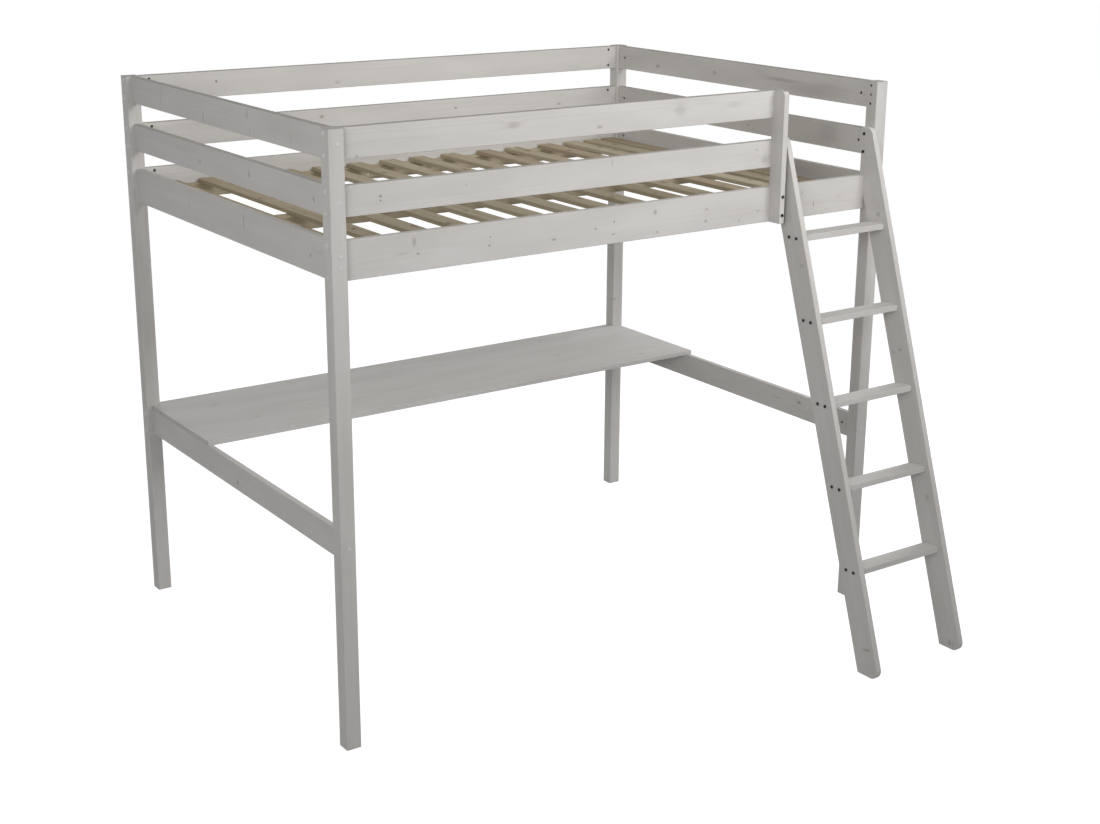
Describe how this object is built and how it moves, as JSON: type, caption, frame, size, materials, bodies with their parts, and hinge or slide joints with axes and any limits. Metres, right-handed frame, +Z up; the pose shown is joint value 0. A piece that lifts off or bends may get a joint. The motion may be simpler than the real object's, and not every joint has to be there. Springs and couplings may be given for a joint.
{
  "type": "loft bed",
  "caption": "High wooden loft bed frame on square posts, with guard rails, slatted deck, leaning plank ladder and a full-width desk shelf below.",
  "frame": {"origin": "on the floor, at the middle of the whole footprint, ladder included", "axes": "+Z up, +X along the bed towards the end with the ladder, +Y from the ladder side to the desk side"},
  "size_m": [2.0824, 2.0328, 1.84],
  "materials": {
    "limewashed_pine": "matt white limewash over knotty pine, grain and knots showing faintly",
    "desk_panel": "matt limewashed glued pine panel",
    "raw_pine": "bare sawn pine with darker knots",
    "dowel_beech": "bare beech dowel",
    "cap_plastic": "matt off-white cover cap",
    "dark_steel": "black socket-headed screw",
    "zinc_steel": "zinc-plated steel"
  },
  "bodies": {
    "root": {"barrel_nuts": "zinc_steel", "board_screws": "zinc_steel", "bolt_caps": "cap_plastic", "bracket_screws": "zinc_steel", "centre_beam": "raw_pine", "connector_screws": "dark_steel", "desk_brackets": "zinc_steel", "desk_top": "desk_panel", "dowels": "dowel_beech", "frame_bolts": "zinc_steel", "front_bed_rail": "limewashed_pine", "front_mid_rail": "limewashed_pine", "front_slat_ledger": "raw_pine", "front_top_rail": "limewashed_pine", "guard_post": "limewashed_pine", "ladder_bolts": "dark_steel", "ladder_nuts": "zinc_steel", "left_beam_cleat": "raw_pine", "left_bed_rail": "limewashed_pine", "left_desk_rail": "limewashed_pine", "left_mid_rail": "limewashed_pine", "left_stile": "limewashed_pine", "left_top_rail": "limewashed_pine", "post_front_left": "limewashed_pine", "post_front_right": "limewashed_pine", "post_rear_left": "limewashed_pine", "post_rear_right": "limewashed_pine", "rear_bed_rail": "limewashed_pine", "rear_desk_rail": "limewashed_pine", "rear_mid_rail": "limewashed_pine", "rear_slat_ledger": "raw_pine", "rear_top_rail": "limewashed_pine", "right_beam_cleat": "raw_pine", "right_bed_rail": "limewashed_pine", "right_desk_rail": "limewashed_pine", "right_mid_rail": "limewashed_pine", "right_stile": "limewashed_pine", "right_top_rail": "limewashed_pine", "slat_01": "raw_pine", "slat_02": "raw_pine", "slat_03": "raw_pine", "slat_04": "raw_pine", "slat_05": "raw_pine", "slat_06": "raw_pine", "slat_07": "raw_pine", "slat_08": "raw_pine", "slat_09": "raw_pine", "slat_10": "raw_pine", "slat_11": "raw_pine", "slat_12": "raw_pine", "slat_13": "raw_pine", "slat_14": "raw_pine", "slat_15": "raw_pine", "slat_screws": "zinc_steel", "tread_1": "limewashed_pine", "tread_2": "limewashed_pine", "tread_3": "limewashed_pine", "tread_4": "limewashed_pine", "tread_5": "limewashed_pine"}
  },
  "joints": []
}
